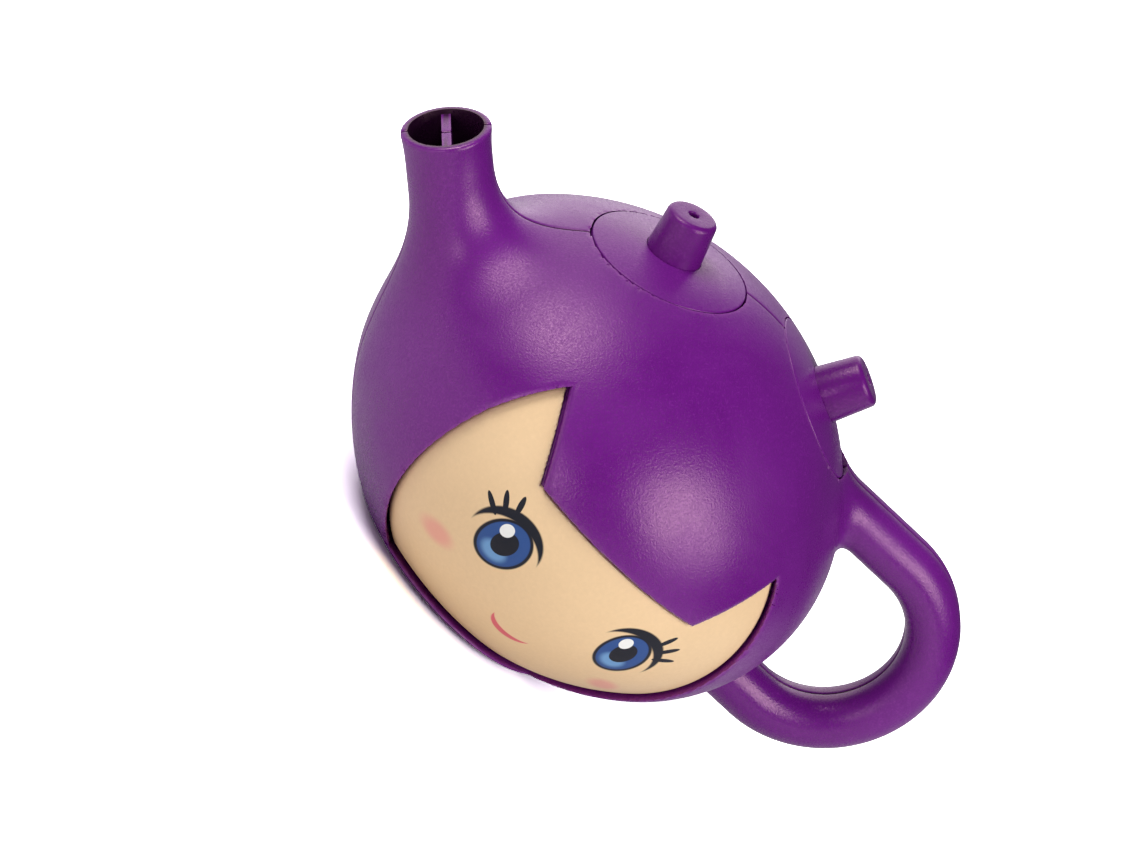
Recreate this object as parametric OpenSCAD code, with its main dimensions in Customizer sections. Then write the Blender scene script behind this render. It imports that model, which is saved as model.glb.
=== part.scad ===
// Toy teapot with two chambers: two moulded half shells, a face panel and two vented lids.

/* [Body] */
// Width of the round body without spout and handle
body_w = 110; // [104:0.5:116]
// How much less high than wide the full oval is, before the base is cut flat
squat = 16.8; // [12:0.4:22]
// Diameter of the flat base
base_d = 49; // [42:0.5:54]
// Wall thickness of the shells
wall = 2.2; // [1.8:0.1:2.6]

/* [Spout] */
// Middle of the spout's mouth, measured out from the body's axis
spout_reach = 75.2; // [72:0.2:78]
// Middle of the spout's mouth, measured up from the body's widest level
spout_rise = 28; // [26:0.2:31]
// Angle of the spout above the horizontal
spout_tilt = 38; // [35:0.5:41]
// Outer diameter of the mouth
mouth_d = 18.6; // [18:0.1:20]
// Outer diameter of the neck under the mouth
neck_d = 17.7; // [16.8:0.1:18]
// Bore of the neck
bore_d = 13.8; // [12.6:0.1:14.2]
// Length over which the mouth widens
lip_len = 7; // [5:0.5:9]
// Reach of the smooth blend between spout and body
blend = 16; // [13:0.5:17]

/* [Divider] */
// Thickness of the wall between the two chambers
divider_t = 1.9; // [1.5:0.1:2.4]
// How far the wall ends below the spout's mouth
divider_setback = 1; // [0.5:0.1:3]
// Radius of the wall's turn from the spout up to the top
divider_bend_r = 9; // [6:0.5:12]

/* [Handle] */
// Radius of the loop, at the middle of the grip
loop_r = 21.8; // [20.4:0.2:23.2]
// Centre of the loop, out from the body's axis
loop_x = 63; // [60:0.2:66]
// Centre of the loop, up from the body's widest level
loop_z = 5.5; // [3.5:0.1:8]
// Thickness of the grip, seen from the front
grip_t = 11.4; // [10:0.2:13]
// Width of the grip, seen from the side
grip_w = 14; // [12.4:0.2:17]
// Wall thickness of the hollow grip
grip_wall = 2.2; // [1.6:0.1:2.8]

/* [Face panel] */
// Diameter of the round window for the panel
window_d = 78.6; // [74:0.2:82]
// Middle of the window below the body's widest level
window_drop = 5.2; // [4:0.1:7]
// Height of the fringe's lower edge above the body's widest level
fringe_z = 4; // [2:0.1:6]
// Half the length of the fringe's lower edge
fringe_half = 21.9; // [18:0.1:24]
// Sideways place of the two points of the window
peak_x = 30.5; // [28:0.1:32]
// Height of the two points of the window
peak_z = 19.8; // [17:0.1:22]
// Height of the window's lower end above the base
chin_lift = 2.4; // [2.2:0.1:5]
// Depth of the panel's face below the shell's surface
panel_inset = 1.7; // [1.2:0.1:2.2]
// Thickness of the panel
panel_t = 1.3; // [1:0.1:1.8]
// Gap between the panel and the edge of its window
panel_gap = 0.6; // [0.3:0.1:1]

/* [Lids] */
// Lean of each lid's axis away from the vertical
lid_tilt = 22.5; // [22:0.25:24]
// Diameter of a lid
lid_d = 34; // [31:0.2:34.6]
// Thickness of a lid's dome
lid_t = 2; // [1.6:0.1:2.4]
// Height of a lid's rim at its edge
lid_rim_h = 1.8; // [1.4:0.1:2.4]
// Gap around a lid in its seat
lid_gap = 0.35; // [0.3:0.05:0.6]
// Outer diameter of the skirt under a lid
skirt_d = 25; // [22:0.2:26]
// Thickness of the skirt
skirt_t = 1.6; // [1.2:0.1:2]
// Depth of the skirt below the lid's rim
skirt_h = 5; // [4:0.2:6]
// Gap around the skirt in its opening
skirt_gap = 0.5; // [0.35:0.05:0.8]
// Thickness of the seal ring under a lid's rim
seal_t = 1; // [0.8:0.1:1.4]
// Gap between a seal ring and its ledge
seal_gap = 0.1; // [0.05:0.05:0.2]
// Thickness of the ledge that carries a lid
ledge_t = 2; // [1.6:0.1:2.6]

/* [Knobs] */
// Diameter of a knob at its foot
knob_d = 12; // [10:0.2:14]
// Diameter of a knob at its top
knob_top_d = 10.8; // [9:0.2:12]
// Height of a knob above its lid
knob_h = 10; // [8:0.2:13]
// Rounding of a knob's top edge
knob_edge_r = 1.1; // [0.6:0.1:1.6]
// Depth of the flat in the lid that takes the knob's foot
knob_flat = 0.4; // [0.3:0.1:0.6]
// Diameter of the peg under a knob
peg_d = 6; // [5:0.1:7]
// Diameter of the air hole through a knob
vent_d = 2.2; // [1.6:0.1:3]

/* [Hidden] */
$fn = 96;

shell_colour = [0.42, 0.11, 0.56];
panel_colour = [0.91, 0.81, 0.65];
seal_colour = [0.86, 0.86, 0.88];

// Length that every cut runs past the faces it cuts
overrun = 1;
// A length beyond every face of the pot
far = body_w + spout_reach;

// The oval: two caps run into a rounded side, on lines that rise as a 3-4-5 triangle does
flatness = squat / 4;
join_run = 4;
join_rise = 3;
join_span = 5;
side_x = join_run * flatness;
cap_drop = join_rise * flatness;
side_r = body_w / 2 - side_x;
cap_r = side_r + join_span * flatness;
seam_turn = 100;
base_r = base_d / 2;
centre_z = sqrt(cap_r * cap_r - base_r * base_r) - cap_drop;

// The panel's pocket: its floor carries the panel, and a wall backs it inside the pot
pocket_depth = panel_inset + panel_t;
backing_depth = pocket_depth + wall;
fringe_angle = atan2(peak_z - fringe_z, peak_x - fringe_half);
chin_z = chin_lift - centre_z;
window_start = base_r / 2;

// The spout, in its own frame: the mouth at zero and the outward axis along z
neck_r = neck_d / 2;
mouth_r = mouth_d / 2;
bore_r = bore_d / 2;
mouth_wall_share = 0.72;
mouth_bore_r = mouth_r - wall * mouth_wall_share;
// The lip widens on an arc, up to a short straight land at the mouth
lip_rise = mouth_r - neck_r;
lip_land = 0.4;
lip_run = lip_len - lip_land;
lip_r = (lip_run * lip_run + lip_rise * lip_rise) / (2 * lip_rise);
// The spout's axis ends as deep in the body as the blend reaches, or where it is nearest the side's middle
solve_steps = 36;
nearest_depth = (spout_reach - side_x) * cos(spout_tilt) + spout_rise * sin(spout_tilt);
spout_len = crossing(function(depth) oval_gap(spout_point(0, 0, depth)) + blend,
                     0, nearest_depth, solve_steps);
// The bore flares over the last part of that length
flare_len_share = 1.8;
flare_start = max(spout_len - blend * flare_len_share, lip_len + overrun);
flare_share = 0.19;

// Extra thickness of the divider on each side of its bend
bend_swell = 0.4;

// The smooth blend at the spout's foot, as rings seen from the inner end of the spout's axis
blend_sides = 48;
blend_rings = 9;
blend_sink = 0.3;
neck_sink = 0.05;
widest_lean = 130;

// A lid's heights, measured along its axis from the middle of the top cap
lid_r = lid_d / 2;
skirt_r = skirt_d / 2;
rim_z = sqrt(cap_r * cap_r - lid_r * lid_r) - lid_rim_h;
ledge_z = rim_z - seal_t - seal_gap;
seat_r = lid_r + lid_gap;
seat_wall_r = seat_r + wall;
opening_r = skirt_r + skirt_gap;
seal_edge = 0.6;
seal_bore_gap = 0.05;
knob_r = knob_d / 2;
knob_z = sqrt(cap_r * cap_r - knob_r * knob_r) - knob_flat;
knob_gap = 0.1;
peg_r = peg_d / 2;
peg_gap = 0.05;
peg_end_z = cap_r - lid_t - peg_r;
vent_r = vent_d / 2;

// Signed distance of a point from the oval
function oval_gap(p) =
    let (rho = norm([p.x, p.y]), z = abs(p.z))
    (rho - side_x) * cap_drop >= z * side_x
        ? norm([rho - side_x, z]) - side_r
        : norm([rho, z + cap_drop]) - cap_r;

// A point beside the spout's axis, given by its angle, its radius and its depth below the mouth
function spout_point(angle, r, depth) =
    [-spout_reach + r * cos(angle) * sin(spout_tilt) + depth * cos(spout_tilt),
     r * sin(angle),
     spout_rise + r * cos(angle) * cos(spout_tilt) - depth * sin(spout_tilt)];

// Distance from the neck and the oval together, rounded where both are near
function blend_gap(neck_gap, body_gap) =
    let (near = max(blend - abs(neck_gap - body_gap), 0))
    min(neck_gap, body_gap) - near * near / (4 * blend);

// Depth between low and high at which a falling value crosses zero
function crossing(value, low, high, steps) =
    let (middle = (low + high) / 2)
    steps == 0 ? middle
    : value(middle) > 0 ? crossing(value, middle, high, steps - 1)
    : crossing(value, low, middle, steps - 1);

// A point at a reach from the inner end of the spout's axis, on a ray that leans off that axis
function ray_point(angle, lean, reach) =
    spout_point(angle, reach * sin(lean), spout_len - reach * cos(lean));

// Reach of such a ray to the oval, drawn in by an inset
function oval_reach(angle, lean, inset) =
    crossing(function(reach) -inset - oval_gap(ray_point(angle, lean, reach)), 0, body_w, solve_steps);

// Reach of such a ray to the blend's surface
function blend_reach(angle, lean) =
    crossing(function(reach)
                 -blend_gap(reach * sin(lean) - neck_r, oval_gap(ray_point(angle, lean, reach))),
             0, body_w, solve_steps);

// Lean of the rays on which the blend leaves the neck and runs out on the oval
function first_lean(angle) =
    let (depth = crossing(function(depth) oval_gap(spout_point(angle, neck_r, depth)) - blend,
                          0, spout_len, solve_steps))
    atan2(neck_r, spout_len - depth);
function last_lean(angle) =
    crossing(function(lean) neck_r + blend - sin(lean) * oval_reach(angle, lean, 0),
             first_lean(angle), widest_lean, solve_steps);

// One point of the blend's skin, in the spout's own frame
function blend_place(ring, angle) =
    let (first = first_lean(angle), lean = first + (last_lean(angle) - first) * ring / blend_rings,
         reach = ring == 0 ? (neck_r - neck_sink) / sin(lean)
             : ring == blend_rings ? oval_reach(angle, lean, blend_sink)
             : blend_reach(angle, lean))
    [reach * sin(lean) * cos(angle), reach * sin(lean) * sin(angle), reach * cos(lean) - spout_len];

// Half of the oval's section, drawn in by an inset: two caps and the side between them
module oval_half(inset) {
    run = join_run * body_w;
    rise = join_rise * body_w;
    for (way = [-1, 1])
        intersection() {
            translate([0, -way * cap_drop])
                circle(cap_r - inset);
            polygon([[0, -way * cap_drop], [run, way * (rise - cap_drop)], [0, way * rise]]);
        }
    translate([side_x, 0])
        intersection() {
            circle(side_r - inset);
            polygon([[0, 0], [run, -rise], [run, rise]]);
        }
}

// The oval body, drawn in by an inset, with the seam of its surface away from the parting plane
module oval(inset = 0) {
    rotate([0, 0, seam_turn])
        rotate_extrude()
            oval_half(inset);
}

// The window's outline, drawn in by a margin
module window_outline(margin = 0) {
    run = far / sin(fringe_angle);
    corner_x = fringe_half + margin * tan(fringe_angle / 2);
    corner_z = fringe_z - margin;
    difference() {
        translate([0, -window_drop])
            circle(window_d / 2 - margin);
        polygon([[-corner_x, corner_z], [corner_x, corner_z],
                 [corner_x + run * cos(fringe_angle), corner_z + far],
                 [-corner_x - run * cos(fringe_angle), corner_z + far]]);
        translate([-far, chin_z + margin - far])
            square([2 * far, far]);
    }
}

// The window's outline carried forward, from a plane inside the pot
module window_prism(margin = 0) {
    translate([0, -window_start, 0])
        rotate([90, 0, 0])
            linear_extrude(far)
                window_outline(margin);
}

module spout_place() {
    translate([-spout_reach, 0, spout_rise])
        rotate([0, spout_tilt - 90, 0])
            children();
}

module neck() {
    rotate_extrude() {
        difference() {
            translate([0, -lip_len])
                square([mouth_r, lip_len]);
            translate([neck_r + lip_r, -lip_len])
                circle(lip_r);
        }
        translate([0, -spout_len])
            square([neck_r, spout_len - lip_len]);
    }
}

// The skin of the blend, closed inside the neck and inside the body
module spout_blend() {
    points = [for (ring = [0 : blend_rings], side = [0 : blend_sides - 1])
        blend_place(ring, 360 * (side + 1 / 2) / blend_sides)];
    top = [0, 0, blend_place(0, 90).z];
    foot = [0, 0, -spout_len];
    top_index = len(points);
    foot_index = top_index + 1;
    function index(ring, side) = ring * blend_sides + side % blend_sides;
    skin = [for (ring = [0 : blend_rings - 1], side = [0 : blend_sides - 1], half = [0, 1])
        half == 0
            ? [index(ring, side), index(ring, side + 1), index(ring + 1, side)]
            : [index(ring, side + 1), index(ring + 1, side + 1), index(ring + 1, side)]];
    ends = [for (side = [0 : blend_sides - 1], end = [0, 1])
        end == 0
            ? [top_index, index(0, side + 1), index(0, side)]
            : [foot_index, index(blend_rings, side), index(blend_rings, side + 1)]];
    polyhedron(points = concat(points, [top, foot]), faces = concat(skin, ends));
}

// The bore of the spout, widened by a growth
module bore(growth = 0) {
    mouth = mouth_bore_r + growth;
    narrow = bore_r + growth;
    flare = (spout_len - flare_start) * flare_share;
    rotate_extrude()
        polygon([[0, overrun], [mouth, overrun], [mouth, 0], [narrow, -lip_len],
                 [narrow, -flare_start], [narrow + flare, -spout_len], [0, -spout_len]]);
}

// Section of the grip, drawn in by an inset
module grip_section(inset) {
    r = grip_t / 2 - inset;
    flat = (grip_w - grip_t) / 2;
    for (side = [-1, 1])
        translate([0, side * flat])
            circle(r);
    translate([-r, -flat])
        square([2 * r, 2 * flat]);
}

// The loop of the handle with its two arms
module grip(inset = 0) {
    translate([loop_x, 0, loop_z])
        rotate([90, 0, 0]) {
            rotate([0, 0, -90])
                rotate_extrude(angle = 180)
                    translate([loop_r, 0])
                        grip_section(inset);
            for (side = [-1, 1])
                translate([-loop_x, side * loop_r, 0])
                    rotate([0, 90, 0])
                        linear_extrude(loop_x)
                            rotate([0, 0, 90])
                                grip_section(inset);
        }
}

module lid_place(side) {
    translate([0, 0, -cap_drop])
        rotate([0, side * lid_tilt, 0])
            children();
}

// The thick ring in the shells around one lid opening, before it is bored
module seat_ring() {
    intersection() {
        translate([0, 0, ledge_z - ledge_t])
            cylinder(h = far, r = seat_wall_r);
        sphere(cap_r);
    }
}

// What one lid, its seal and its skirt need cut from the shells
module seat_cut() {
    translate([0, 0, ledge_z])
        cylinder(h = far, r = seat_r);
    translate([0, 0, ledge_z - ledge_t - overrun])
        cylinder(h = far, r = opening_r);
}

// Side view of the divider: down the spout, round a thicker bend and up to the top
module divider_path() {
    bend_x = -divider_bend_r;
    depth = (spout_reach + bend_x - divider_bend_r * sin(spout_tilt)) / cos(spout_tilt);
    bend_z = spout_rise - depth * sin(spout_tilt) + divider_bend_r * cos(spout_tilt);
    half = divider_t / 2;
    translate([-spout_reach, spout_rise])
        rotate([0, 0, -spout_tilt])
            translate([divider_setback, -half])
                square([depth + overrun - divider_setback, divider_t]);
    translate([bend_x, bend_z])
        intersection() {
            difference() {
                circle(divider_bend_r + half + bend_swell);
                circle(divider_bend_r - half - bend_swell);
            }
            polygon([[0, 0], [-far * sin(spout_tilt), -far * cos(spout_tilt)],
                     [0, -far], [far, -far], [far, 0]]);
        }
    translate([-half, bend_z - overrun])
        square([divider_t, far]);
}

// Everything below a height above the base
module below(height) {
    translate([-far, -far, height - centre_z - far])
        cube([2 * far, 2 * far, far]);
}

// The room inside the pot, with a floor, and with the panel's pocket backed by a wall
module chamber() {
    difference() {
        oval(wall);
        difference() {
            window_prism(-wall);
            oval(backing_depth);
        }
        below(wall);
    }
}

module divider() {
    intersection() {
        translate([0, far, 0])
            rotate([90, 0, 0])
                linear_extrude(2 * far)
                    divider_path();
        union() {
            oval(wall / 2);
            spout_place()
                bore((neck_r - bore_r) / 2);
        }
    }
}

// The whole pot in one piece, before it is parted
module pot() {
    difference() {
        union() {
            oval();
            grip();
            spout_place() {
                neck();
                spout_blend();
            }
        }
        difference() {
            chamber();
            for (side = [-1, 1])
                lid_place(side)
                    seat_ring();
        }
        difference() {
            grip(grip_wall);
            oval();
        }
        spout_place()
            bore();
        for (side = [-1, 1])
            lid_place(side)
                seat_cut();
        below(0);
    }
    divider();
}

// One half of the pot, in front of the parting plane or behind it
module half_pot(side) {
    intersection() {
        pot();
        translate([-far, side < 0 ? -far : 0, -far])
            cube([2 * far, far, 2 * far]);
    }
}

module front_shell() {
    color(shell_colour)
        translate([0, 0, centre_z])
            difference() {
                half_pot(-1);
                difference() {
                    window_prism();
                    oval(pocket_depth);
                }
            }
}

module back_shell() {
    color(shell_colour)
        translate([0, 0, centre_z])
            half_pot(1);
}

module face_panel() {
    color(panel_colour)
        translate([0, 0, centre_z])
            intersection() {
                window_prism(panel_gap);
                difference() {
                    oval(panel_inset);
                    oval(pocket_depth);
                }
            }
}

module lid() {
    rotate_extrude()
        difference() {
            union() {
                intersection() {
                    circle(cap_r);
                    translate([0, rim_z])
                        square([lid_r, far]);
                }
                translate([0, rim_z - skirt_h])
                    square([skirt_r, skirt_h + overrun]);
            }
            difference() {
                intersection() {
                    circle(cap_r - lid_t);
                    square([skirt_r - skirt_t, far]);
                }
                translate([0, peg_end_z])
                    square([peg_r + lid_t, far]);
            }
            translate([0, knob_z])
                square([knob_r + knob_gap, far]);
            square([peg_r + peg_gap, far]);
        }
}

module knob() {
    shoulder_z = knob_h - knob_edge_r;
    shoulder_r = knob_r + (knob_top_d / 2 - knob_r) * shoulder_z / knob_h;
    rotate_extrude()
        translate([0, knob_z])
            difference() {
                union() {
                    polygon([[0, 0], [knob_r, 0], [shoulder_r, shoulder_z],
                             [shoulder_r - knob_edge_r, knob_h], [0, knob_h]]);
                    translate([shoulder_r - knob_edge_r, shoulder_z])
                        circle(knob_edge_r);
                    translate([0, peg_end_z - knob_z])
                        square([peg_r, knob_z - peg_end_z]);
                }
                translate([0, -far])
                    square([vent_r, 2 * far]);
            }
}

module seal() {
    rotate_extrude()
        translate([skirt_r + seal_bore_gap, rim_z - seal_t])
            square([lid_r - seal_edge - skirt_r - seal_bore_gap, seal_t]);
}

module on_pot(side) {
    translate([0, 0, centre_z])
        lid_place(side)
            children();
}

module spout_side_lid() { color(shell_colour) on_pot(-1) lid(); }
module spout_side_knob() { color(shell_colour) on_pot(-1) knob(); }
module spout_side_seal() { color(seal_colour) on_pot(-1) seal(); }
module handle_side_lid() { color(shell_colour) on_pot(1) lid(); }
module handle_side_knob() { color(shell_colour) on_pot(1) knob(); }
module handle_side_seal() { color(seal_colour) on_pot(1) seal(); }

front_shell();
back_shell();
face_panel();
spout_side_lid();
spout_side_knob();
spout_side_seal();
handle_side_lid();
handle_side_knob();
handle_side_seal();
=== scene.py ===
import math
import bpy
import numpy as np
from mathutils import Matrix, Vector


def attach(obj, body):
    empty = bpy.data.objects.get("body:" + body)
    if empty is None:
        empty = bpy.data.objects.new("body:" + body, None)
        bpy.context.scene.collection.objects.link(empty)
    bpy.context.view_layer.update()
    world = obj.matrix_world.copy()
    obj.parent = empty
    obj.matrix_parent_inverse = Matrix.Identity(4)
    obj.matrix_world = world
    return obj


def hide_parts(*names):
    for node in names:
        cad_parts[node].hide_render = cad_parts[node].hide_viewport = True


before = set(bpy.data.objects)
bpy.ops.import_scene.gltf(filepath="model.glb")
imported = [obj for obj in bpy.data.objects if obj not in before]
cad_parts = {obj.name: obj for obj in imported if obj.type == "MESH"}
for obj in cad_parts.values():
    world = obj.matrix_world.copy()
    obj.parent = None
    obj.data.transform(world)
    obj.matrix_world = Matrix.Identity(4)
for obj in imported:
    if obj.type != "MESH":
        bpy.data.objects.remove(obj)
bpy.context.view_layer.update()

# The pot: two half shells, injection moulded in satin purple plastic with a fine eroded grain and
# glued along the upright parting plane. Each carries half of the spout, of the hollow handle and of
# the divider between the two chambers; the front one has the pocket for the face panel.
MM = 0.001

# Sizes in millimetres from the middle of the oval body: body, spout, handle, face window and its
# pocket, the lids' seats and the divider
side_x, side_r, cap_drop, cap_r = 16.8, 38.2, 12.6, 59.2
wall, base_r, base_round, seam_round = 2.2, 24.5, 1.6, 0.7
centre_z = math.sqrt(cap_r ** 2 - base_r ** 2) - cap_drop
spout_reach, spout_rise, spout_tilt, blend = 75.2, 28.0, math.radians(38), 16.0
neck_r, mouth_r, bore_r, mouth_bore_r = 8.85, 9.3, 6.9, 7.716
lip_len, lip_run, lip_round = 7.0, 6.6, 1.0
lip_r = (lip_run ** 2 + (mouth_r - neck_r) ** 2) / (2 * (mouth_r - neck_r))
loop_x, loop_z, loop_r = 63.0, 5.5, 21.8
grip_t, grip_flat, grip_wall, grip_fillet = 11.4, 1.3, 2.2, 4.0
window_r, window_drop, window_start, chin_lift = 39.3, 5.2, base_r / 2, 2.4
chin_z = chin_lift - centre_z
fringe_z, fringe_half, fringe_rise, fringe_spread = 4.0, 21.9, 15.8, 8.6
fringe_turn = math.atan2(fringe_rise, fringe_spread)
pocket_depth, backing_depth, window_round = 3.0, 5.2, 1.1
lid_tilt, seat_r, seat_wall_r, opening_r = math.radians(22.5), 17.35, 19.55, 13.0
ledge_z, ledge_t = 53.81, 2.0
divider_t, divider_setback, bend_r, bend_swell = 1.9, 1.0, 9.0, 0.4
overlap = 1.0


def soft_min(a, b, reach):
    """The smaller of two distances, rounded over where they differ by less than the reach."""
    near = np.maximum(reach - np.abs(a - b), 0)
    return np.minimum(a, b) - near * near / (4 * reach)


def soft_max(a, b, reach):
    return -soft_min(-a, -b, reach)


def oval_gap(x, y, z):
    """Distance from the oval body: a rounded side between two flatter caps."""
    rho, h = np.hypot(x, y), np.abs(z)
    return np.where((rho - side_x) * cap_drop >= h * side_x,
                    np.hypot(rho - side_x, h) - side_r, np.hypot(rho, h + cap_drop) - cap_r)


def spout_frame(x, y, z):
    """Radius from the spout's axis, depth below its mouth and height across the divider."""
    dx, dz = x + spout_reach, z - spout_rise
    across = dx * math.sin(spout_tilt) + dz * math.cos(spout_tilt)
    return np.hypot(across, y), dx * math.cos(spout_tilt) - dz * math.sin(spout_tilt), across


# The spout's axis ends as deep in the body as its blend reaches, and its bore flares before that end
depths = np.linspace(0, 80, 8001)
on_axis = oval_gap(depths * math.cos(spout_tilt) - spout_reach, 0,
                   spout_rise - depths * math.sin(spout_tilt))
neck_end = depths[np.argmax(on_axis < -blend)]
flare_run, flare_share = 1.8 * blend, 0.19
flare_start = neck_end - flare_run


def bore_radius(depth):
    return np.interp(depth, [0, lip_len, flare_start, neck_end],
                     [mouth_bore_r, bore_r, bore_r, bore_r + (neck_end - flare_start) * flare_share])


def grip_gap(x, y, z):
    """Distance from the handle: two level arms and a half circle, a little flattened at the sides."""
    u, w = x - loop_x, z - loop_z
    across = np.where(u > 0, np.abs(np.hypot(u, w) - loop_r), np.abs(np.abs(w) - loop_r))
    return np.maximum(np.hypot(across, np.maximum(np.abs(y) - grip_flat, 0)) - grip_t / 2, -x)


def window_gap(x, z):
    """Distance from the face window's outline: a disc cut by the fringe above and the chin below."""
    fringe = np.maximum(fringe_z - z, (np.abs(x) - fringe_half) * math.sin(fringe_turn)
                        - (z - fringe_z) * math.cos(fringe_turn))
    return np.maximum(np.maximum(np.hypot(x, z + window_drop) - window_r, -fringe), chin_z - z)


def lid_frame(x, y, z, side):
    """Radius from a lid's axis and height along it from the middle of the top cap."""
    up, out = math.cos(lid_tilt), side * math.sin(lid_tilt)
    return np.hypot(x * up - (z + cap_drop) * out, y), x * out + (z + cap_drop) * up


def outer_gap(x, y, z):
    """Distance from the outside: body, spout with its lip, handle and flat base, blended."""
    radius, depth, _ = spout_frame(x, y, z)
    rise = np.clip(lip_len - depth, 0, lip_run)
    neck = np.maximum(radius - neck_r - lip_r + np.sqrt(lip_r ** 2 - rise ** 2), depth - neck_end)
    skin = soft_max(soft_min(neck, oval_gap(x, y, z), blend), -depth, lip_round)
    skin = soft_min(skin, grip_gap(x, y, z), grip_fillet)
    return soft_max(skin, -(z + centre_z), base_round)


def room_gap(x, y, z):
    """Distance from all that is hollow: the chambers, the spout's bore, the handle and the lids' seats."""
    body = oval_gap(x, y, z)
    backing = np.maximum(np.maximum(window_gap(x, z) - wall, -(body + backing_depth)), y + window_start)
    room = np.maximum(np.maximum(body + wall, -backing), wall - (z + centre_z))
    radius, depth, _ = spout_frame(x, y, z)
    seats = []
    for side in (-1, 1):
        r, up = lid_frame(x, y, z, side)
        ring = np.maximum(np.maximum(r - seat_wall_r, ledge_z - ledge_t - up), np.hypot(r, up) - cap_r)
        room = np.maximum(room, -ring)
        seats += [np.maximum(r - seat_r, ledge_z - up),
                  np.maximum(r - opening_r, ledge_z - ledge_t - overlap - up)]
    hollow = np.maximum(grip_gap(x, y, z) + grip_wall, -body)
    for part in (np.maximum(radius - bore_radius(depth), depth - neck_end), hollow, *seats):
        room = np.minimum(room, part)
    return room


def divider_gap(x, y, z):
    """Distance from the wall between the chambers: down the spout, round a bend, up between the lids."""
    half, tilt = divider_t / 2, spout_tilt
    radius, depth, across = spout_frame(x, y, z)
    run = (spout_reach - bend_r - bend_r * math.sin(tilt)) / math.cos(tilt)
    bend_z = spout_rise - run * math.sin(tilt) + bend_r * math.cos(tilt)
    u, w = x + bend_r, z - bend_z
    slope = np.maximum(np.abs(across) - half, np.maximum(divider_setback - depth, depth - run - overlap))
    turn = np.maximum(np.abs(np.hypot(u, w) - bend_r) - half - bend_swell,
                      np.maximum(w, -u * math.cos(tilt) + w * math.sin(tilt)))
    rise = np.maximum(np.abs(x) - half, bend_z - overlap - z)
    within = np.minimum(oval_gap(x, y, z) + wall / 2,
                        np.maximum(radius - bore_radius(depth) - (neck_r - bore_r) / 2,
                                   np.maximum(-depth, depth - neck_end)))
    return np.maximum(np.minimum(np.minimum(slope, turn), rise), within)


def pot_gap(x, y, z):
    return np.minimum(np.maximum(outer_gap(x, y, z), -room_gap(x, y, z)), divider_gap(x, y, z))


def front_gap(x, y, z):
    pocket = np.maximum(np.maximum(window_gap(x, z), -(oval_gap(x, y, z) + pocket_depth)),
                        y + window_start)
    return soft_max(soft_max(pot_gap(x, y, z), -pocket, window_round), y, seam_round)


def back_gap(x, y, z):
    return soft_max(pot_gap(x, y, z), -y, seam_round)


# Painted shade: the colour of the hollow darkens over a short run from its edge, standing in for
# the shade deep in the bore and the chambers. The lids' seats stay purple, and so does the divider's end in
# the mouth.
hollow_edge, hollow_run, rib_skin, rib_run = 0.2, 0.7, 0.3, 12
seat_margin, ledge_margin = 1, 0.3
# Crease lightening gain, and the width and core of the painted shade along the parting line
crease_gain, seam_half, seam_core = 5, 0.2, 1.5


def depth_inside(x, y, z):
    """How deep a point of the surface lies in the hollow, which sets its painted shade: 0 outside, 1 well
    into the bore or a chamber.
    """
    room = room_gap(x, y, z)
    hollow = 1 - np.clip((room - hollow_edge) / hollow_run, 0, 1)
    for side in (-1, 1):
        r, up = lid_frame(x, y, z, side)
        hollow = np.where((r < seat_r + seat_margin) & (up > ledge_z - ledge_margin), 0, hollow)
    on_divider = np.clip(-room / rib_skin, 0, 1)
    into_spout = np.clip((spout_frame(x, y, z)[1] - divider_setback) / rib_run, 0, 1)
    return hollow * (1 - on_divider * (1 - into_spout))


def field_crossings(gap, axes):
    """Points and normals where grid lines cross a field's zero surface, and the four cells round each."""
    halvings, probe, tiny = 12, 0.004, 1e-12
    grid = gap(*np.meshgrid(*axes, indexing="ij", sparse=True))
    sizes = [len(a) for a in axes]
    points, normals, cells = [], [], []
    for k in range(3):
        first, second = [slice(None)] * 3, [slice(None)] * 3
        first[k], second[k] = slice(None, -1), slice(1, None)
        start = np.argwhere((grid[tuple(first)] < 0) != (grid[tuple(second)] < 0))
        p, q = (k + 1) % 3, (k + 2) % 3
        start = start[(start[:, p] > 0) & (start[:, q] > 0)
                      & (start[:, p] < sizes[p] - 1) & (start[:, q] < sizes[q] - 1)]
        end = start + np.eye(3, dtype=int)[k]
        low = np.stack([axes[n][start[:, n]] for n in range(3)], 1)
        high = np.stack([axes[n][end[:, n]] for n in range(3)], 1)
        starts_in = grid[tuple(start.T)] < 0
        for _ in range(halvings):
            middle = (low + high) / 2
            same = ((gap(*middle.T) < 0) == starts_in)[:, None]
            low, high = np.where(same, middle, low), np.where(same, high, middle)
        point = (low + high) / 2
        slope = np.stack([gap(*(point + step).T) - gap(*(point - step).T)
                          for step in np.eye(3) * probe], 1)
        slope /= np.linalg.norm(slope, axis=1, keepdims=True) + tiny
        around = []
        for dp, dq in ((-1, -1), (0, -1), (0, 0), (-1, 0)):
            cell = start.copy()
            cell[:, p] += dp
            cell[:, q] += dq
            around.append(np.ravel_multi_index(cell.T, sizes))
        around = np.stack(around, 1)
        around[~starts_in] = around[~starts_in, ::-1]
        points.append(point)
        normals.append(slope)
        cells.append(around)
    return np.concatenate(points), np.concatenate(normals), np.concatenate(cells)


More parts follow.
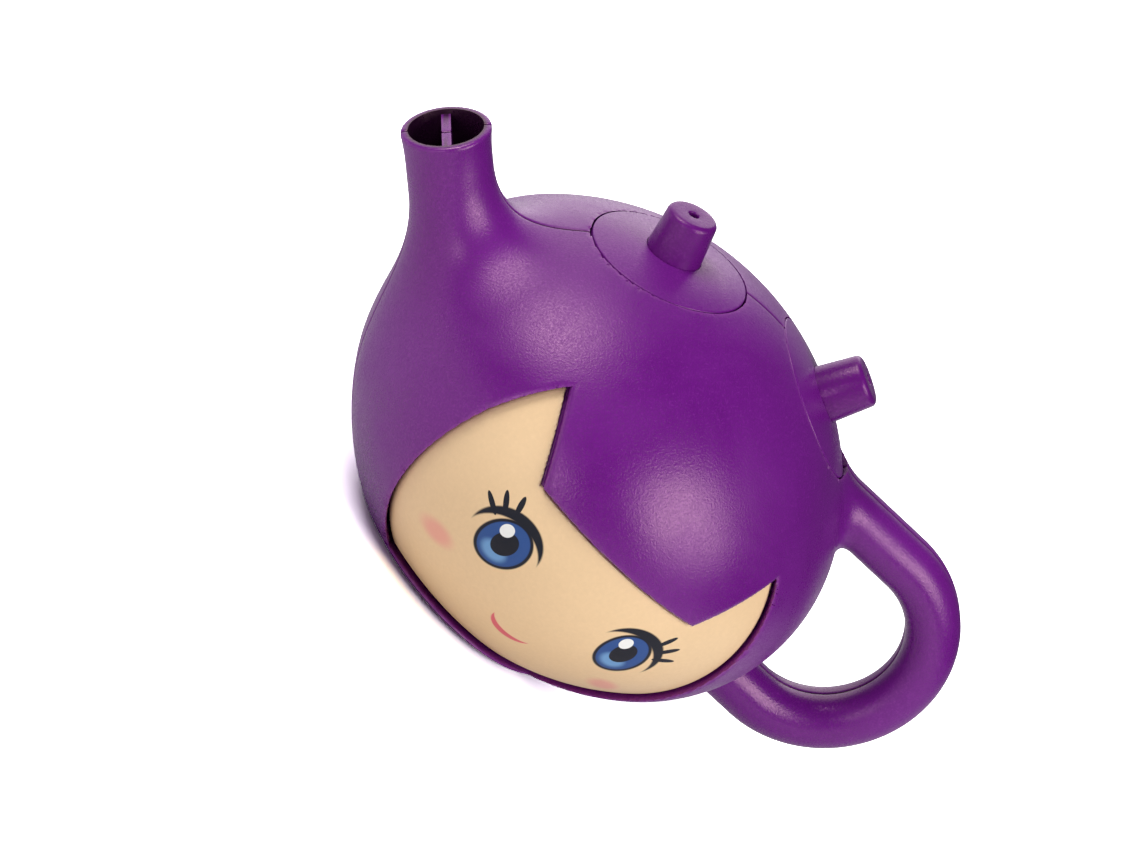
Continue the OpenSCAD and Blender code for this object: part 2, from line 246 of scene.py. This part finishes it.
def fitted_corners(points, normals, quads):
    """One point per cell, where the planes of its crossings meet, so creases stay; and the mean normals."""
    pull_to_middle = 0.012
    owner, count = quads.ravel(), np.bincount(quads.ravel())

    def cell_sum(values):
        return np.bincount(owner, weights=np.repeat(values, 4))

    middle = np.stack([cell_sum(points[:, n]) for n in range(3)], 1) / count[:, None]
    mean = np.stack([cell_sum(normals[:, n]) for n in range(3)], 1) / count[:, None]
    level = (normals * points).sum(1)
    normal_sum = np.empty((len(count), 3, 3))
    for m in range(3):
        for n in range(3):
            normal_sum[:, m, n] = cell_sum(normals[:, m] * normals[:, n])
    wanted = np.stack([cell_sum(normals[:, n] * level) for n in range(3)], 1)
    wanted -= np.einsum("imn,in->im", normal_sum, middle)
    normal_sum += np.eye(3) * (pull_to_middle * count)[:, None, None]
    return middle + np.linalg.solve(normal_sum, wanted[..., None])[..., 0], mean


def moulded_mesh(name, gap, axes, most_triangles):
    """Piece whose surface is where a distance field is zero, its creases kept and the rest thinned."""
    points, normals, cells = field_crossings(gap, axes)
    used, quads = np.unique(cells, return_inverse=True)
    quads = quads.reshape(cells.shape)
    verts, mean = fitted_corners(points, normals, quads)
    index = np.stack(np.unravel_index(used, [len(a) for a in axes]), 1)
    for n in range(3):
        verts[:, n] = np.clip(verts[:, n], axes[n][index[:, n]], axes[n][index[:, n] + 1])
    mesh = bpy.data.meshes.new(name)
    mesh.from_pydata(((verts + [0, 0, centre_z]) * MM).tolist(), [], quads.tolist())
    # Masks for the colour: creases for paler edges, and painted shade in the hollow and along the parting
    # line
    crease = np.clip((1 - np.linalg.norm(mean, axis=1)) * crease_gain, 0, 1)
    hollow_shade_amount = depth_inside(*verts.T)
    # Painted shade along the parting line, where the shade of the glued groove between the shells falls
    seam = np.clip(seam_core - np.abs(verts[:, 1]) / seam_half, 0, 1) * (1 - hollow_shade_amount)
    for label, values in (("crease", crease), ("inner", hollow_shade_amount), ("seam", seam)):
        mesh.attributes.new(label, "FLOAT", "POINT").data.foreach_set("value", values)
    piece = bpy.data.objects.new(name, mesh)
    bpy.context.scene.collection.objects.link(piece)
    thinning = piece.modifiers.new("thinning", "DECIMATE")
    thinning.ratio = min(1.0, most_triangles / (2 * len(quads)))
    evaluated = piece.evaluated_get(bpy.context.evaluated_depsgraph_get())
    thinned = bpy.data.meshes.new_from_object(evaluated)
    piece.modifiers.remove(thinning)
    piece.data = thinned
    thinned.polygons.foreach_set("use_smooth", np.ones(len(thinned.polygons), dtype=bool))
    thinned.set_sharp_from_angle(angle=math.radians(38))
    return piece


def add_node(tree, kind, inputs=None, **settings):
    made = tree.nodes.new(kind)
    for key, value in settings.items():
        setattr(made, key, value)
    for key, value in (inputs or {}).items():
        if isinstance(value, bpy.types.NodeSocket):
            tree.links.new(value, made.inputs[key])
        else:
            made.inputs[key].default_value = value
    return made


def maths(tree, operation, *values):
    return add_node(tree, "ShaderNodeMath", dict(enumerate(values)), operation=operation).outputs[0]


def mixed_colour(tree, share, first, second):
    return add_node(tree, "ShaderNodeMix", {0: share, 6: first, 7: second}, data_type="RGBA").outputs[2]


# Grain of a mould's eroded surface: it lightens and roughens the plastic in specks, with faint flow
# marks and paler rubbed edges. The group also paints shade into the colour: the hollow and the parting line
# go dark.
fine_weight, flow_weight, tone_swing, speck_strength, rub_strength = 0.6, 0.4, 0.16, 0.22, 0.3
hollow_shade_strength, parting_shade_strength, gloss_swing, flow_relief = 0.94, 0.92, 0.5, 0.5
grain_and_shade = bpy.data.node_groups.new("eroded_grain_painted_shade", "ShaderNodeTree")
for label, kind, value in (("Colour", "NodeSocketColor", (1, 1, 1, 1)),
                           ("Rubbed", "NodeSocketColor", (1, 1, 1, 1)),
                           ("Painted Shade", "NodeSocketColor", (0.012, 0.002, 0.007, 1)),
                           ("Grain Scale", "NodeSocketFloat", 2200),
                           ("Grain Amount", "NodeSocketFloat", 1),
                           ("Roughness", "NodeSocketFloat", 0.4)):
    grain_and_shade.interface.new_socket(label, in_out="INPUT", socket_type=kind).default_value = value
for label, kind in (("Colour", "NodeSocketColor"), ("Roughness", "NodeSocketFloat"),
                    ("Height", "NodeSocketFloat")):
    grain_and_shade.interface.new_socket(label, in_out="OUTPUT", socket_type=kind)
given = grain_and_shade.nodes.new("NodeGroupInput").outputs
place = grain_and_shade.nodes.new("ShaderNodeTexCoord").outputs["Object"]
fine = add_node(grain_and_shade, "ShaderNodeTexNoise",
                {"Vector": place, "Scale": given["Grain Scale"], "Detail": 2.0,
                 "Roughness": 0.6}).outputs[0]
flow = add_node(grain_and_shade, "ShaderNodeTexNoise",
                {"Vector": place, "Scale": 38.0, "Detail": 3.0, "Roughness": 0.55,
                 "Distortion": 0.6}).outputs[0]
specks = add_node(grain_and_shade, "ShaderNodeMapRange",
                  {"Value": fine, "From Min": 0.54, "From Max": 0.76}).outputs[0]
rubbed = add_node(grain_and_shade, "ShaderNodeAttribute", attribute_name="crease").outputs["Fac"]
# Painted shade: the hollow and the parting line are darkened in the colour itself
hollow_shade_mask = add_node(grain_and_shade, "ShaderNodeAttribute", attribute_name="inner").outputs["Fac"]
parting_shade_mask = add_node(grain_and_shade, "ShaderNodeAttribute", attribute_name="seam").outputs["Fac"]
clouds = maths(grain_and_shade, "ADD", maths(grain_and_shade, "MULTIPLY", fine, fine_weight),
               maths(grain_and_shade, "MULTIPLY", flow, flow_weight))
tone = add_node(grain_and_shade, "ShaderNodeMapRange",
                {"Value": clouds, "From Min": 0.3, "From Max": 0.7,
                 "To Min": -tone_swing, "To Max": tone_swing}).outputs[0]
brightness = maths(grain_and_shade, "ADD", 1, maths(grain_and_shade, "MULTIPLY", tone, given["Grain Amount"]))
toned = add_node(grain_and_shade, "ShaderNodeHueSaturation",
                 {"Color": given["Colour"], "Value": brightness}).outputs[0]
speck_share = maths(grain_and_shade, "MULTIPLY", maths(grain_and_shade, "MULTIPLY", specks, speck_strength),
                    given["Grain Amount"])
specked = mixed_colour(grain_and_shade, speck_share, toned, given["Rubbed"])
edged = mixed_colour(grain_and_shade, maths(grain_and_shade, "MULTIPLY", rubbed, rub_strength), specked, given["Rubbed"])
painted_shade_share = maths(grain_and_shade, "MAXIMUM", maths(grain_and_shade, "MULTIPLY", hollow_shade_mask, hollow_shade_strength),
                   maths(grain_and_shade, "MULTIPLY", parting_shade_mask, parting_shade_strength))
shaded = mixed_colour(grain_and_shade, painted_shade_share, edged, given["Painted Shade"])
uneven = maths(grain_and_shade, "MULTIPLY", maths(grain_and_shade, "SUBTRACT", flow, fine), gloss_swing)
rough = maths(grain_and_shade, "ADD", given["Roughness"],
              maths(grain_and_shade, "MULTIPLY", uneven, given["Grain Amount"]))
height = maths(grain_and_shade, "ADD", fine, maths(grain_and_shade, "MULTIPLY", flow, flow_relief))
ready = grain_and_shade.nodes.new("NodeGroupOutput")
for label, socket in (("Colour", shaded), ("Roughness", rough), ("Height", height)):
    grain_and_shade.links.new(socket, ready.inputs[label])


def grained_plastic(name, colour, rubbed, grain_scale, grain_amount, roughness, relief):
    """A moulded plastic: its material, the shader and the group that carries its colour."""
    material = bpy.data.materials.new(name)
    material.use_nodes = True
    tree = material.node_tree
    surface = tree.nodes["Principled BSDF"]
    group = add_node(tree, "ShaderNodeGroup",
                     {"Colour": (*colour, 1), "Rubbed": (*rubbed, 1), "Grain Scale": grain_scale,
                      "Grain Amount": grain_amount, "Roughness": roughness}, node_tree=grain_and_shade)
    bump = add_node(tree, "ShaderNodeBump",
                    {"Strength": 1.0, "Distance": relief, "Height": group.outputs["Height"]})
    tree.links.new(group.outputs["Colour"], surface.inputs["Base Color"])
    tree.links.new(group.outputs["Roughness"], surface.inputs["Roughness"])
    tree.links.new(bump.outputs[0], surface.inputs["Normal"])
    surface.inputs["IOR"].default_value = 1.5
    return material, surface, group


purple, purple_surface, _ = grained_plastic(
    "purple_plastic", colour=(0.14, 0.0055, 0.212), rubbed=(0.34, 0.08, 0.38),
    grain_scale=2200, grain_amount=1.0, roughness=0.33, relief=0.00006)
rose_sheen = (1.0, 0.64, 0.7, 1)
purple_surface.inputs["Specular IOR Level"].default_value = 0.65
purple_surface.inputs["Specular Tint"].default_value = rose_sheen

# The grid is closest across the parting plane and round the spout's mouth
coarse_step, close_step, mouth_step = 0.75, 0.5, 0.45
front_triangles, back_triangles = 180000, 160000
seam_rows = np.array([0.35, 0.1, -0.06, -0.18, -0.32, -0.55, -0.95])
across = np.concatenate([seam_rows, np.arange(-1.45, -10.2, -close_step),
                         np.arange(-10.7, -57.0, -coarse_step)])[::-1]
along = np.concatenate([np.arange(-82.3, -64, mouth_step), np.arange(-63.7, 91.5, coarse_step)])
upward = np.concatenate([np.arange(-44.4, 19, coarse_step), np.arange(19.2, 36.8, close_step),
                         np.arange(37.2, 48.5, coarse_step)])
front_shell = moulded_mesh("front_shell_moulding", front_gap, (along, across, upward), front_triangles)
back_shell = moulded_mesh("back_shell_moulding", back_gap, (along, -across[::-1], upward), back_triangles)
for piece, node in ((front_shell, "front_shell"), (back_shell, "back_shell")):
    piece.data.materials.append(purple)
    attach(piece, "pot")
    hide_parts(node)

# The face panel: a thin cream plastic insert, domed like the pot, that lies glued in the front
# shell's pocket. Its plain doll's face is pad printed in navy, blue and pink.
panel_inset, panel_margin, panel_round = 1.7, 0.6, 0.7
panel_step, panel_triangles = 0.55, 60000


def panel_gap(x, y, z):
    body = oval_gap(x, y, z)
    face = soft_max(body + panel_inset, window_gap(x, z) + panel_margin, panel_round)
    return np.maximum(np.maximum(face, -(body + pocket_depth)), y + window_start)


panel_axes = [np.arange(low, high, panel_step)
              for low, high in ((-41.0, 41.1), (-55.5, -9.5), (-41.2, 22.1))]
face_panel = moulded_mesh("face_panel_moulding", panel_gap, panel_axes, panel_triangles)

# One printed spot: an ellipse at a place on the panel, turned and soft edged
spot = bpy.data.node_groups.new("printed_spot", "ShaderNodeTree")
for label, kind in (("Place", "NodeSocketVector"), ("Middle", "NodeSocketVector"),
                    ("Half Size", "NodeSocketVector"), ("Turn", "NodeSocketFloat"),
                    ("Edge", "NodeSocketFloat")):
    spot.interface.new_socket(label, in_out="INPUT", socket_type=kind)
spot.interface.new_socket("Ink", in_out="OUTPUT", socket_type="NodeSocketFloat")
given = spot.nodes.new("NodeGroupInput").outputs
offset = add_node(spot, "ShaderNodeVectorMath", {0: given["Place"], 1: given["Middle"]},
                  operation="SUBTRACT").outputs[0]
turned = add_node(spot, "ShaderNodeVectorRotate", {"Vector": offset, "Angle": given["Turn"]},
                  rotation_type="Y_AXIS").outputs[0]
scaled = add_node(spot, "ShaderNodeVectorMath", {0: turned, 1: given["Half Size"]},
                  operation="DIVIDE").outputs[0]
flat = add_node(spot, "ShaderNodeVectorMath", {0: scaled, 1: (1, 0, 1)}, operation="MULTIPLY").outputs[0]
reach = add_node(spot, "ShaderNodeVectorMath", {0: flat}, operation="LENGTH").outputs["Value"]
ink = add_node(spot, "ShaderNodeMapRange",
               {"Value": reach, "From Min": maths(spot, "SUBTRACT", 1, given["Edge"]),
                "From Max": 1.0, "To Min": 1.0, "To Max": 0.0},
               interpolation_type="SMOOTHSTEP").outputs[0]
spot.links.new(ink, spot.nodes.new("NodeGroupOutput").inputs["Ink"])

cream, cream_surface, cream_group = grained_plastic(
    "printed_cream", colour=(0.86, 0.605, 0.355), rubbed=(0.92, 0.74, 0.54),
    grain_scale=1100, grain_amount=0.2, roughness=0.4, relief=0.000015)
cream_surface.inputs["Specular IOR Level"].default_value = 0.3
cream_tree = cream.node_tree
split = add_node(cream_tree, "ShaderNodeSeparateXYZ",
                 {0: cream_tree.nodes.new("ShaderNodeTexCoord").outputs["Object"]}).outputs
mirrored = add_node(cream_tree, "ShaderNodeCombineXYZ",
                    {"X": maths(cream_tree, "ABSOLUTE", split["X"]), "Z": split["Z"]}).outputs[0]
single = add_node(cream_tree, "ShaderNodeCombineXYZ", {"X": split["X"], "Z": split["Z"]}).outputs[0]


def spot_ink(where, x, z, wide, high, turn=0.0, edge=0.06):
    """Ink of one spot, from its middle and half sizes in millimetres and its turn in degrees."""
    return add_node(cream_tree, "ShaderNodeGroup",
                    {"Place": where, "Middle": (x * MM, 0, (z + centre_z) * MM),
                     "Half Size": (wide * MM, MM, high * MM), "Turn": -math.radians(turn),
                     "Edge": edge}, node_tree=spot).outputs[0]


def crescent_ink(where, full, bite):
    return maths(cream_tree, "MULTIPLY", spot_ink(where, *full),
                 maths(cream_tree, "SUBTRACT", 1, spot_ink(where, *bite)))


navy, blue, sky = (0.004, 0.005, 0.014), (0.025, 0.08, 0.28), (0.16, 0.34, 0.62)
white, rose, blush = (0.9, 0.9, 0.88), (0.75, 0.12, 0.16), (0.86, 0.33, 0.28)
eye_x, eye_z, cheek_x, cheek_z, cheek_strength, mouth_z = 17.5, -11.0, 24.5, -22.5, 0.75, -24.5
cheek_ink = spot_ink(mirrored, cheek_x, cheek_z, 4.8, 3.6, 0, 0.7)
printed = cream_group.outputs["Colour"]
for colour, ink in (
        (blush, maths(cream_tree, "MULTIPLY", cheek_ink, cheek_strength)),
        (navy, spot_ink(mirrored, eye_x, eye_z, 5.5, 6.7)),
        (blue, spot_ink(mirrored, eye_x, eye_z, 4.8, 6.0)),
        (sky, spot_ink(mirrored, eye_x, eye_z - 2.7, 3.5, 2.8, 0, 0.5)),
        (navy, spot_ink(mirrored, eye_x, eye_z + 0.3, 2.5, 3.3)),
        (white, spot_ink(single, eye_x - 1.9, eye_z + 2.8, 1.4, 1.7)),
        (white, spot_ink(single, -eye_x - 1.9, eye_z + 2.8, 1.4, 1.7)),
        (navy, crescent_ink(mirrored, (eye_x + 0.3, eye_z + 0.9, 7.7, 7.7),
                            (eye_x - 0.4, eye_z - 1.5, 8.0, 7.8))),
        (navy, spot_ink(mirrored, eye_x + 7.7, eye_z + 4.1, 0.6, 2.5, 62)),
        (navy, spot_ink(mirrored, eye_x + 6.4, eye_z + 6.7, 0.6, 2.5, 40)),
        (navy, spot_ink(mirrored, eye_x + 4.2, eye_z + 8.6, 0.6, 2.3, 20)),
        (rose, crescent_ink(single, (0, mouth_z, 5.2, 4.0), (0, mouth_z + 1.6, 6.0, 4.2)))):
    printed = mixed_colour(cream_tree, ink, printed, (*colour, 1))
cream_tree.links.new(printed, cream_surface.inputs["Base Color"])
face_panel.data.materials.append(cream)
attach(face_panel, "pot")
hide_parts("face_panel")

# The two lids: domed purple discs that drop flush into their seats on each side of the top, each
# with a skirt, a soft pale seal ring under its rim and a pegged knob with an air hole right through.
lid_r, lid_t, dome_edge_z, rim_z = 17.0, 2.0, 56.707, 54.91
recess_r, dome_end_r, skirt_r, skirt_bore_r, skirt_z = 6.1, 16.6, 12.5, 10.9, 49.91
boss_r, boss_z, peg_hole_r, peg_r, air_hole_r = 5.0, 54.2, 3.05, 3.0, 1.1
knob_foot_r, knob_top_r, knob_foot_z, knob_top_z = 6.0, 5.4, 58.495, 68.495
seal_r, seal_bore_r, seal_z, seal_round = 16.4, 12.55, 53.91, 0.3
path_r = 10.0

# Turned sections are (radius, height, rounding) along the lid's axis from the middle of the top cap
dome = [(r, math.sqrt(cap_r ** 2 - r * r), 0) for r in np.linspace(recess_r, dome_end_r, 14)]
ceiling = [(r, math.sqrt((cap_r - lid_t) ** 2 - r * r), 0) for r in np.linspace(skirt_bore_r, boss_r, 10)]
lid_section = [(recess_r, knob_foot_z, 0), *dome, (lid_r, dome_edge_z, 0.3), (lid_r, rim_z, 0.25),
               (skirt_r, rim_z, 0.2), (skirt_r, skirt_z, 0.4), (skirt_bore_r, skirt_z, 0.4), *ceiling,
               (boss_r, boss_z, 0.3), (peg_hole_r, boss_z, 0.1), (peg_hole_r, knob_foot_z, 0)]
knob_section = [(air_hole_r, knob_top_z, 0.35), (knob_top_r, knob_top_z, 1.25),
                (knob_foot_r, knob_foot_z, 0.12), (peg_r, knob_foot_z, 0), (peg_r, boss_z, 0.3),
                (air_hole_r, boss_z, 0.2)]
seal_section = [(seal_bore_r, rim_z, seal_round), (seal_r, rim_z, seal_round),
                (seal_r, seal_z, seal_round), (seal_bore_r, seal_z, seal_round)]

lathe = bpy.data.node_groups.new("turned_piece", "GeometryNodeTree")
for label, kind in (("Section", "NodeSocketGeometry"), ("Path Radius", "NodeSocketFloat"),
                    ("Steps", "NodeSocketInt"), ("Lean", "NodeSocketVector"),
                    ("Pivot", "NodeSocketVector"), ("Material", "NodeSocketMaterial")):
    lathe.interface.new_socket(label, in_out="INPUT", socket_type=kind)
lathe.interface.new_socket("Piece", in_out="OUTPUT", socket_type="NodeSocketGeometry")
given = lathe.nodes.new("NodeGroupInput").outputs
outline = add_node(lathe, "GeometryNodeMeshToCurve", {"Mesh": given["Section"]}).outputs[0]
rounding = add_node(lathe, "GeometryNodeInputNamedAttribute", {"Name": "rounding"},
                    data_type="FLOAT").outputs["Attribute"]
filleted = add_node(lathe, "GeometryNodeFilletCurve",
                    {"Curve": outline, "Count": 6, "Limit Radius": True, "Radius": rounding},
                    mode="POLY").outputs[0]
ring = add_node(lathe, "GeometryNodeCurvePrimitiveCircle",
                {"Resolution": given["Steps"], "Radius": given["Path Radius"]}).outputs[0]
swept = add_node(lathe, "GeometryNodeCurveToMesh", {"Curve": ring, "Profile Curve": filleted}).outputs[0]
leaned = add_node(lathe, "GeometryNodeTransform",
                  {"Geometry": swept, "Translation": given["Pivot"], "Rotation": given["Lean"]}).outputs[0]
whole = add_node(lathe, "GeometryNodeRealizeInstances", {"Geometry": leaned}).outputs[0]
coated = add_node(lathe, "GeometryNodeSetMaterial",
                  {"Geometry": whole, "Material": given["Material"]}).outputs[0]
lathe.links.new(coated, lathe.nodes.new("NodeGroupOutput").inputs["Piece"])

# The knobs are the same purple plastic as the pot; their copy of it is darker, as painted shade on their
# sides
knob_purple_painted_darker, knob_surface, _ = grained_plastic(
    "knob_plastic_painted_darker", colour=(0.118, 0.0035, 0.172), rubbed=(0.3, 0.06, 0.33),
    grain_scale=1800, grain_amount=1.0, roughness=0.3, relief=0.00004)
knob_surface.inputs["Specular Tint"].default_value = rose_sheen
seal_rubber, _, _ = grained_plastic(
    "pale_rubber", colour=(0.62, 0.62, 0.65), rubbed=(0.75, 0.75, 0.78),
    grain_scale=900, grain_amount=0.5, roughness=0.62, relief=0.000025)


def turned_piece(name, section, side, steps, material):
    """A section swept round a lid's axis by the lathe tree, as a plain mesh in its place on the pot."""
    drawing = bpy.data.meshes.new(name + "_section")
    drawing.from_pydata([((r - path_r) * MM, -h * MM, 0) for r, h, _ in section],
                        [(n, (n + 1) % len(section)) for n in range(len(section))], [])
    corner_sizes = drawing.attributes.new("rounding", "FLOAT", "POINT")
    corner_sizes.data.foreach_set("value", [size * MM for _, _, size in section])
    holder = bpy.data.objects.new(name + "_drawing", drawing)
    bpy.context.scene.collection.objects.link(holder)
    modifier = holder.modifiers.new("lathe", "NODES")
    modifier.node_group = lathe
    sockets = {s.name: s.identifier for s in lathe.interface.items_tree if s.in_out == "INPUT"}
    for label, value in (("Path Radius", path_r * MM), ("Steps", steps),
                         ("Lean", (0.0, side * lid_tilt, 0.0)),
                         ("Pivot", (0.0, 0.0, (centre_z - cap_drop) * MM)), ("Material", material)):
        modifier[sockets[label]] = value
    evaluated = holder.evaluated_get(bpy.context.evaluated_depsgraph_get())
    mesh = bpy.data.meshes.new_from_object(evaluated)
    bpy.data.objects.remove(holder)
    mesh.name = name
    mesh.polygons.foreach_set("use_smooth", np.ones(len(mesh.polygons), dtype=bool))
    mesh.set_sharp_from_angle(angle=math.radians(32))
    piece = bpy.data.objects.new(name, mesh)
    bpy.context.scene.collection.objects.link(piece)
    return piece


for side, body in ((-1, "spout_side"), (1, "handle_side")):
    for part, section, steps, material, slot in (("lid", lid_section, 128, purple, "shell"),
                                                 ("knob", knob_section, 96, knob_purple_painted_darker, "shell"),
                                                 ("seal", seal_section, 96, seal_rubber, "seal")):
        piece = turned_piece(f"{body}_{part}_turning", section, side, steps, material)
        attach(piece, body + "_lid")
        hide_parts(f"{body}_{part}")

# The studio: a plain white floor under soft light, seen through a long lens at the photograph's
# angle, with the camera rolled as the photograph is.
azimuth, elevation, roll = math.radians(-23.3), math.radians(18.7), math.radians(50.8)
distance, frame_width, image_width, image_height = 3.0, 0.2315, 1140, 855
middle_column, middle_row = 597.6, 447.5
back = Vector((math.sin(azimuth) * math.cos(elevation), -math.cos(azimuth) * math.cos(elevation),
               math.sin(elevation)))
level = Vector((math.cos(azimuth), math.sin(azimuth), 0))
upright = back.cross(level)
right = math.cos(roll) * level + math.sin(roll) * upright
above = math.cos(roll) * upright - math.sin(roll) * level
pixel = frame_width / image_width
middle = Vector((0, 0, centre_z * MM))
camera = bpy.data.objects.new("camera", bpy.data.cameras.new("camera"))
camera.data.sensor_width = 36
camera.data.lens = camera.data.sensor_width * distance / frame_width
camera.data.clip_end = 20
camera.matrix_world = Matrix((right, above, back)).transposed().to_4x4()
camera.location = (middle + distance * back + (image_width / 2 - middle_column) * pixel * right
                   + (middle_row - image_height / 2) * pixel * above)
bpy.context.scene.collection.objects.link(camera)
bpy.context.scene.camera = camera
bpy.context.scene.view_settings.view_transform = "Standard"

# The camera sees the floor white with the pot's shadow on it; the pot is lit by a plain pale one
floor_half, floor_pale, floor_white = 6, (0.8, 0.8, 0.8, 1), (2.8, 2.8, 2.8, 1)
floor_mesh = bpy.data.meshes.new("floor")
floor_mesh.from_pydata([(-floor_half, -floor_half, 0), (floor_half, -floor_half, 0),
                        (floor_half, floor_half, 0), (-floor_half, floor_half, 0)], [], [(0, 1, 2, 3)])
floor = bpy.data.objects.new("floor", floor_mesh)
paper = bpy.data.materials.new("white_floor")
paper.use_nodes = True
paper_tree = paper.node_tree
paper_tree.nodes.remove(paper_tree.nodes["Principled BSDF"])
rays = paper_tree.nodes.new("ShaderNodeLightPath")
matte = add_node(paper_tree, "ShaderNodeBsdfDiffuse", {"Color": floor_pale})
lit = add_node(paper_tree, "ShaderNodeBsdfDiffuse", {"Color": floor_white})
floor_mix = add_node(paper_tree, "ShaderNodeMixShader",
                     {0: rays.outputs["Is Camera Ray"], 1: matte.outputs[0], 2: lit.outputs[0]})
paper_tree.links.new(floor_mix.outputs[0], paper_tree.nodes["Material Output"].inputs["Surface"])
floor_mesh.materials.append(paper)
bpy.context.scene.collection.objects.link(floor)

world = bpy.data.worlds.new("studio")
bpy.context.scene.world = world
world.use_nodes = True
sky_tree = world.node_tree
soft = sky_tree.nodes["Background"]
soft.inputs["Color"].default_value = (1, 1, 1, 1)
soft.inputs["Strength"].default_value = 0.06
bright = add_node(sky_tree, "ShaderNodeBackground", {"Color": (1, 1, 1, 1), "Strength": 1.0})
path = sky_tree.nodes.new("ShaderNodeLightPath")
blended = add_node(sky_tree, "ShaderNodeMixShader",
                   {0: path.outputs["Is Camera Ray"], 1: soft.outputs[0], 2: bright.outputs[0]})
sky_tree.links.new(blended.outputs[0], sky_tree.nodes["World Output"].inputs["Surface"])

lamp_distance = 0.8
for name, direction, size, power, tint in (
        ("key", 0.88 * above + 0.47 * back, 0.42, 4.0, (1, 1, 1)),
        ("side", 0.73 * right - 0.28 * above + 0.61 * back, 0.58, 4.9, (1, 1, 1)),
        ("fill", -0.36 * right - 0.1 * above + 0.93 * back, 0.4, 1.3, (1, 1, 1)),
        ("rim", 0.1 * right + 0.79 * above - 0.6 * back, 0.95, 3.4, (1, 0.9, 0.97)),
        ("rear", 0.35 * right + 0.45 * above - 0.82 * back, 0.5, 0.25, (1, 1, 1))):
    lamp = bpy.data.lights.new(name, "AREA")
    lamp.shape, lamp.size, lamp.energy, lamp.color = "DISK", size, power, tint
    light = bpy.data.objects.new(name, lamp)
    light.location = middle + direction.normalized() * lamp_distance
    light.rotation_euler = (light.location - middle).to_track_quat("Z", "Y").to_euler()
    light.visible_camera = False
    bpy.context.scene.collection.objects.link(light)
